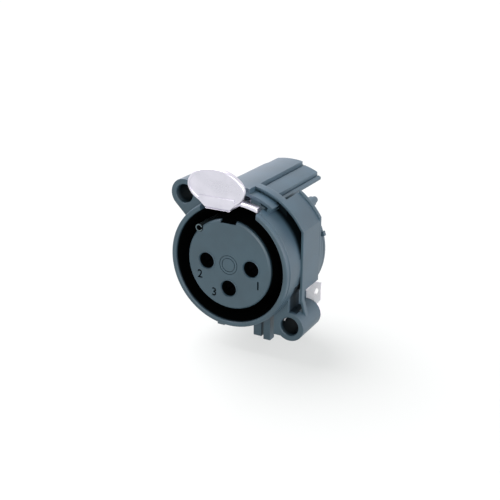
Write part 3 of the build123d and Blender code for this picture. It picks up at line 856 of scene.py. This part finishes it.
@dataclass
class Insert:
    """The round insert with its pin holes, keyway, earth groove, pin numbers and plain rings."""

    face: float = -2.66
    radius: float = 7.7
    chamfer: float = 0.35
    annulus_floor: float = 10.1
    seat_radius: float = 10.06
    rear: float = 10.8
    edge: float = 0.08
    hole_radius: float = 1.3
    hole_length: float = 1.7
    lead_in: tuple = (0.17, 0.25)
    sleeve_radius: float = 1.75
    rim: float = 0.34
    rim_height: float = 0.1
    rim_edge: float = 0.06
    pins: tuple = ((4.14, 0.0), (-4.14, 0.0), (0.0, -4.14))
    numbers: tuple = ((5.45, -2.65), (-5.45, -2.65), (-2.75, -5.35))
    number_height: float = 2.0
    number_weight: float = 0.045
    number_depth: float = 0.22
    number_weld: float = 0.0005 * MM
    mark_radii: tuple = (1.1, 1.55)
    mark_width: float = 0.12
    mark_depth: float = 0.15
    keyway: tuple = (1.45, 7.05, 9.0, 8.0)
    groove: tuple = (-5.432, 5.528, 0.72, 6.5)
    wire_hole: float = 0.36

    def digit(self, text: str, x: float, z: float) -> Piece:
        """A plain digit as a closed cutter that stands through the face."""
        curve = bpy.data.curves.new("digit", "FONT")
        curve.body = text
        curve.align_x = "CENTER"
        curve.align_y = "CENTER"
        curve.size = self.number_height * MM
        curve.extrude = self.number_depth * MM
        curve.offset = self.number_weight * MM
        shown = add_object("digit", curve)
        graph = bpy.context.evaluated_depsgraph_get()
        mesh = bpy.data.meshes.new_from_object(shown.evaluated_get(graph))
        bpy.data.objects.remove(shown)
        place = Matrix.Translation(Vector((x, self.face, z)) * MM)
        mesh.transform(place @ Matrix.Rotation(math.pi / 2, 4, "X"))
        work = bmesh.new()
        work.from_mesh(mesh)
        bmesh.ops.remove_doubles(work, verts=work.verts, dist=self.number_weld)
        bmesh.ops.recalc_face_normals(work, faces=work.faces)
        work.to_mesh(mesh)
        work.free()
        return add_object("digit", mesh)

    def painted_shade_places(self) -> tuple:
        """Where shade is painted, as light doesn't reach there: the holes and numbers in the face, and the
        gap round the insert.
        """
        face, floor, flat = self.face, self.annulus_floor, self.radius - self.chamfer
        return (
            ShadeWell(radius=flat - 0.05, front=face + 0.06, fade=0.2, rear=floor),
            ShadeWell(radius=self.seat_radius - 0.3, front=face + self.chamfer, fade=0.6, rear=floor + 0.05),
        )

    def marks(self) -> list:
        """Cutters of the two plain rings in the middle of the face."""
        front, floor = self.face - OVER, self.face + self.mark_depth
        sides = [(inner, inner + self.mark_width) for inner in self.mark_radii]
        return [ring([(a, front), (a, floor), (b, floor), (b, front)], 64) for a, b in sides]

    def pin_cuts(self, x: float, z: float) -> list:
        """Cutters of one pin hole with its lead-in, and of the bore for its contact behind it."""
        end, hole = self.face + self.hole_length, self.hole_radius
        wide, depth = self.lead_in
        profile = [
            (hole + wide, self.face - OVER),
            (hole + wide, self.face - self.rim_height),
            (hole, self.face + depth),
            (hole, end + 0.1),
        ]
        return [turned(profile, 64, x, z), rod(self.sleeve_radius, end, self.rear + OVER, 64, x, z)]

    def make(self, finish: Finish) -> Piece:
        """Builds the insert as one mesh."""
        face, front, flat = self.face, self.face - OVER, self.radius - self.chamfer
        made = Carver("insert_body", turned([
            (flat, face),
            (flat + self.edge, face + 0.02),
            (self.radius - 0.02, face + self.chamfer - self.edge),
            (self.radius, face + self.chamfer + 0.03),
            (self.radius, self.annulus_floor),
            (self.seat_radius, self.annulus_floor),
            (self.seat_radius, self.rear),
        ]))
        for x, z in self.pins:
            rim = circle(self.hole_radius + self.rim, 64, x, z)
            made.join(bar(rim, face - self.rim_height, face + OVER, self.rim_edge))
        made.cut(*self.marks())
        for x, z in self.pins:
            made.cut(*self.pin_cuts(x, z))
        half, floor, top, length = self.keyway
        made.cut(box((-half, half), (front, face + length), (floor, top)))
        x, z, radius, length = self.groove
        made.cut(rod(radius, front, face + length, 40, x, z))
        made.cut(rod(self.wire_hole, face, self.rear + OVER, 24, x, z))
        for text, (x, z) in zip("123", self.numbers):
            made.step(self.digit(text, x, z), "DIFFERENCE")
        return made.finish(finish, Slot.INSERT, BODY_SOCKET, "insert")


@dataclass
class Latch:
    """The plated latch lever: tab, neck, bar, arm, nose and trunnions."""

    foot: tuple = (-6.0, 10.54)
    lean: float = 9.5
    half_width: float = 5.03
    half_height: float = 3.25
    centre: float = 3.42
    thickness: float = 0.85
    neck: tuple = (2.25, 3.2, 0.95)
    neck_ends: tuple = (0.02, 0.63)
    neck_levels: tuple = (10.35, 10.73)
    rim_width: float = 0.42
    rim_height: float = 0.14
    round: float = 0.24
    edge: float = 0.08
    neck_edge: float = 0.1
    saddle: tuple = (-2.2, -0.85)
    saddle_rims: tuple = (0.2, 0.15)
    saddle_top: tuple = (4.95, 10.83, 10.2)
    saddle_bottom: tuple = (4.95, 10.2, 9.4)
    arm: tuple = (2.2, 7.0, 9.95, 10.55)
    arm_front: float = 0.6
    nose: tuple = ((4.3, 10.0), (5.6, 8.8), (6.6, 8.8), (6.6, 10.25), (4.3, 10.25))
    nose_half_width: float = 1.6
    pivot: tuple = (1.2, 10.25)
    trunnion: tuple = (0.45, 3.5)

    def on_tab(self, shell: Shell) -> Shell:
        """Places a shell that is drawn flat, with its y into the tab, on the leaning tab."""
        lean = math.radians(self.lean)
        up = (0.0, -math.sin(lean), math.cos(lean))
        inward = (0.0, math.cos(lean), math.sin(lean))
        return shell.placed((0.0, *self.foot), (1.0, 0.0, 0.0), inward, up)

    def tab(self) -> list:
        """The oval tab and its neck, flat."""
        outline = oval(self.half_width, self.half_height, self.centre)
        low, high, top = self.neck
        end = top + 1.0
        neck = [(-low, 0.0), (low, 0.0), (high, top), (high, end), (-high, end), (-high, top)]
        return [
            bar(outline, 0.0, self.thickness, self.round, self.round),
            bar(neck, *self.neck_ends, self.neck_edge, self.neck_edge),
        ]

    def recess(self) -> Shell:
        """What is taken from the tab's face inside its rim."""
        outline = oval(self.half_width - self.rim_width, self.half_height - self.rim_width, self.centre)
        return bar(outline, -OVER, self.rim_height, 0.0, self.edge)

    def strip(self) -> list:
        """The neck's strip, the arm and the nose, as side views carried across."""
        depth, (low, high) = self.foot[0], self.neck_levels
        wide, end, bottom, top = self.arm
        rear = self.saddle[1]
        under = [(depth, low), (rear, low), (0.0, bottom), (end, bottom)]
        over = [(end, top), (self.arm_front, top), (rear, high), (depth + self.rim_width, high)]
        outlines = ((under + over, wide), (self.nose, self.nose_half_width))
        return [side_bar(outline, -half, half, self.edge) for outline, half in outlines]

    def bowed(self, half_width: float, middle: float, end: float, count: int = 24) -> Points:
        """Points of a flat bow: z = middle - (middle - end) (x / half_width)^2."""
        across = np.linspace(half_width, -half_width, count)
        return np.stack([across, middle - (middle - end) * (across / half_width) ** 2], -1)

    def make(self, finish: Finish) -> Piece:
        """Builds the lever as one mesh."""
        plate, neck = self.tab()
        made = Carver("latch_lever_plated", self.on_tab(plate))
        made.cut(self.on_tab(self.recess()))
        made.join(self.on_tab(neck), *self.strip())
        outline = np.concatenate([self.bowed(*self.saddle_top), self.bowed(*self.saddle_bottom)[::-1]])
        made.join(bar(outline, *self.saddle, *self.saddle_rims))
        radius, reach = self.trunnion
        made.join(side_bar(circle(radius, 24, *self.pivot), -reach, reach, self.edge))
        return made.finish(finish, Slot.LATCH, BODY_LATCH, "latch_lever")


@dataclass
class LeafSpring:
    """The leaf spring between the hood and the latch's arm."""

    half_width: float = 1.5
    thickness: float = 0.2
    path: tuple = ((19.2, 10.95), (8.15, 10.95), (6.1, 10.6), (5.2, 10.85))
    held: tuple = (8.5, 10.95)
    driven: tuple = (6.0, 10.7)

    def make(self, finish: Finish) -> Piece:
        """Carries the leaf's section along its path, with many stations."""
        depth, height = np.array(self.path).T
        along = np.linspace(depth[0], depth[-1], 60)
        level = np.interp(-along, -depth, height)
        x, t = self.half_width, self.thickness
        corners = [(-x, 0.0), (x, 0.0), (x, t), (-x, t)]
        sections = np.array([[(a, y, z + b) for a, b in corners] for y, z in zip(along, level)])
        made = Shell.carried(sections).build("latch_leaf")
        dress(made, finish, None)
        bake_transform(made)
        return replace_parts(made, "latch_spring")


@dataclass
class EarthClip:
    """The earth clip: the node's own shape, with the tag's turned-over inner edge beside the drum."""

    inner: float = 11.02
    outer: float = 12.3
    angles: tuple = (-40.0, -20.6)
    depth: tuple = (6.95, 7.35)
    fold: tuple = (11.05, 11.45, 6.6, 7.3, 0.12)

    def make(self, finish: Finish) -> Piece:
        """Builds the clip as one mesh."""
        made = Carver("panel_earth_tag", merged("panel_earth_clip", "panel_earth_tag"))
        inner, outer, *ends, rim = self.fold
        made.join(bar(sector(self.outer, self.inner, *self.angles, 16), *self.depth))
        made.join(bar(sector(outer, inner, *self.angles, 16), *ends, rim))
        return made.finish(finish, Slot.TIN, BODY_SOCKET, "panel_earth_clip")


# The stage

@dataclass
class Studio:
    """Camera, lights, white world and pale floor."""

    camera_place: tuple = (65.08, -114.37, 51.90)
    camera_target: tuple = (4.136, -2.9, 3.468)
    roll: float = 0.191
    lens: float = 61.8
    sensor: float = 36.0
    clip: tuple = (0.001, 10.0)
    floor_height: float = -14.78
    floor_half: float = 3000.0
    white: tuple = (1.0, 1.0, 1.0)
    world: float = 0.22
    suns: tuple = (
        ("key", (-0.6, 0.25, 0.76), 5.2, 50.0, (1.0, 0.89, 0.96)),
        ("side", (0.95, 0.1, 0.1), 3.0, 50.0, (1.0, 0.9, 1.0)),
        ("front", (0.3, -0.92, 0.25), 1.45, 40.0, (1.0, 1.0, 1.0)),
    )

    def camera(self) -> None:
        """Sets the camera where the photograph was taken from."""
        data = bpy.data.cameras.new("camera")
        data.lens = self.lens
        data.sensor_width = self.sensor
        data.clip_start, data.clip_end = self.clip
        made = add_object("camera", data)
        place, target = Vector(self.camera_place) * MM, Vector(self.camera_target) * MM
        turn = (target - place).to_track_quat("-Z", "Y").to_matrix().to_4x4()
        roll = Matrix.Rotation(math.radians(self.roll), 4, "Z")
        made.matrix_world = Matrix.Translation(place) @ turn @ roll
        bpy.context.scene.camera = made

    def lights(self) -> None:
        """Soft lamps far away, so that the floor is lit evenly."""
        for name, towards, strength, angle, colour in self.suns:
            data = bpy.data.lights.new(name, "SUN")
            data.energy = strength
            data.color = colour
            data.angle = math.radians(angle)
            made = add_object(name, data)
            made.rotation_mode = "QUATERNION"
            made.rotation_quaternion = Vector(towards).to_track_quat("Z", "Y")

    def surroundings(self) -> None:
        """A world that is white to the camera and in reflections, and plainer as a light."""
        world = bpy.data.worlds.new("studio")
        bpy.context.scene.world = world
        nodes = Nodes(world)
        seen = nodes.ray("Is Camera Ray")
        for kind in ("Is Glossy Ray", "Is Transmission Ray"):
            seen = nodes.add("ShaderNodeMath", {"operation": "MAXIMUM"}, {0: seen, 1: nodes.ray(kind)})
        values = {"Value": seen, "To Min": self.world, "To Max": 1.0}
        nodes.set(Color=self.white, Strength=nodes.add("ShaderNodeMapRange", {}, values))

    def floor(self) -> None:
        """A wide pale floor under the lowest foot."""
        half = self.floor_half
        corners = np.array([(x * half, y * half, self.floor_height) for x, y in SQUARE])
        made = Shell(corners, [[0, 1, 2, 3]]).build("floor")
        made.data.materials.append(Floor().make())

    def make(self) -> None:
        """Sets the whole stage."""
        self.camera()
        self.lights()
        self.surroundings()
        self.floor()
        bpy.context.scene.view_settings.view_transform = "Standard"


@dataclass
class Socket:
    """The whole socket: what is modelled here and the nodes whose own shapes are carried over."""

    housing: Housing = field(default_factory=Housing)
    insert: Insert = field(default_factory=Insert)
    latch: Latch = field(default_factory=Latch)
    leaf: LeafSpring = field(default_factory=LeafSpring)
    clip: EarthClip = field(default_factory=EarthClip)

    def painted_shade_places(self) -> tuple:
        """The housing's deep places, where shade is painted: the bore behind its mouth, the two screw
        holes, the hollow between the drum and the flange and the pocket beside the lower block."""
        form = self.housing
        place, hole = form.ear_place, form.screw_hole + 0.08
        inner = form.flange_radius - form.flange_wall + 0.05
        side = form.flange_side - form.flange_wall - 0.01
        hollow = {"radius": inner, "front": 1.0, "fade": 1.6, "strength": 0.92}
        beside = form.block[1] - 0.02
        pocket = {"radius": inner + 0.9, "front": 0.1, "fade": 0.8, "strength": 0.8}
        return (
            ShadeWell(radius=form.mouth_radius + 0.02, front=-2.88, fade=0.5, rear=form.annulus_floor + 0.05),
            ShadeWell(place, -place, form.claw_pocket[0] + 0.06, 0.1, 1.0, form.ear_depth - 0.1, strength=0.85),
            ShadeWell(-place, place, hole, 0.1, 1.4, form.ear_depth - 0.1, strength=0.85),
            ShadeWell(**hollow, rear=form.band_floor + 0.02, across=(6.2, form.deep_left), up=(0.0, 12.0)),
            ShadeWell(**hollow, rear=form.flange_floor + 0.02, across=(form.deep_left, side), up=(-4.2, 12.0)),
            ShadeWell(**pocket, rear=1.85, across=(side, side + 0.9), up=(-7.75, -4.2)),
            ShadeWell(**pocket, rear=3.9, across=(beside, side), up=(-8.2, -3.0)),
        )

    def make(self) -> None:
        """Builds and dresses every piece."""
        # The housing's and insert's plastics carry painted shade in their hollows.
        shell = MouldedPlastic("housing_plastic", shade_wells=self.painted_shade_places()).make()
        cover = MouldedPlastic("cover_plastic").make()
        core = MouldedPlastic("insert_plastic", shade_wells=self.insert.painted_shade_places()).make()
        plate = Plating("latch_plating").make()
        spring = Plating("spring_steel", (0.62, 0.63, 0.65), (0.5, 0.51, 0.53)).make()
        # Painted shade on the earth sleeve where it lies in the insert's groove.
        inside = (ShadeWell(*self.insert.groove[:2], radius=0.45, front=-9.0, rear=6.0),)
        sleeve = Plating("earth_steel", (0.16, 0.21, 0.23), (0.10, 0.14, 0.15), 0.45, shade_wells=inside).make()
        place = self.housing.ear_place
        # Painted shade on the clip deep in the lower screw hole, behind the bright claw teeth.
        screw_hole_shade = (ShadeWell(place, -place, radius=1.8, front=2.3, rear=9.0),)
        tin = Plating("bright_tin", (1.0, 0.99, 1.0), (0.94, 0.94, 0.98), metallic=0.1, shade_wells=screw_hole_shade).make()
        # Painted shade on the contacts inside the insert, ahead of their tails.
        contact_shade = (ShadeWell(radius=6.5, front=-9.0, rear=self.housing.drum_rear),)
        contact = Plating("contact_silver", (0.80, 0.79, 0.76), (0.66, 0.64, 0.60), shade_wells=contact_shade).make()
        self.housing.make(shell)
        self.insert.make(core)
        self.latch.make(plate)
        self.leaf.make(spring)
        for number in (1, 2, 3):
            node = f"contact_{number}"
            refined(node, f"{node}_sleeve", contact, Slot.CONTACT, BODY_SOCKET)
        refined("rear_cover", "rear_cover_plate", cover, Slot.COVER, BODY_SOCKET)
        refined("shell_earth_contact", "shell_earth_sleeve", sleeve, Slot.SPRING, BODY_SOCKET)
        self.clip.make(tin)


def main() -> None:
    """Loads the frame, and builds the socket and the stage."""
    logging.basicConfig(level=logging.INFO, format="%(message)s")
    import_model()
    Socket().make()
    Studio().make()


if __name__ == "__main__":
    main()
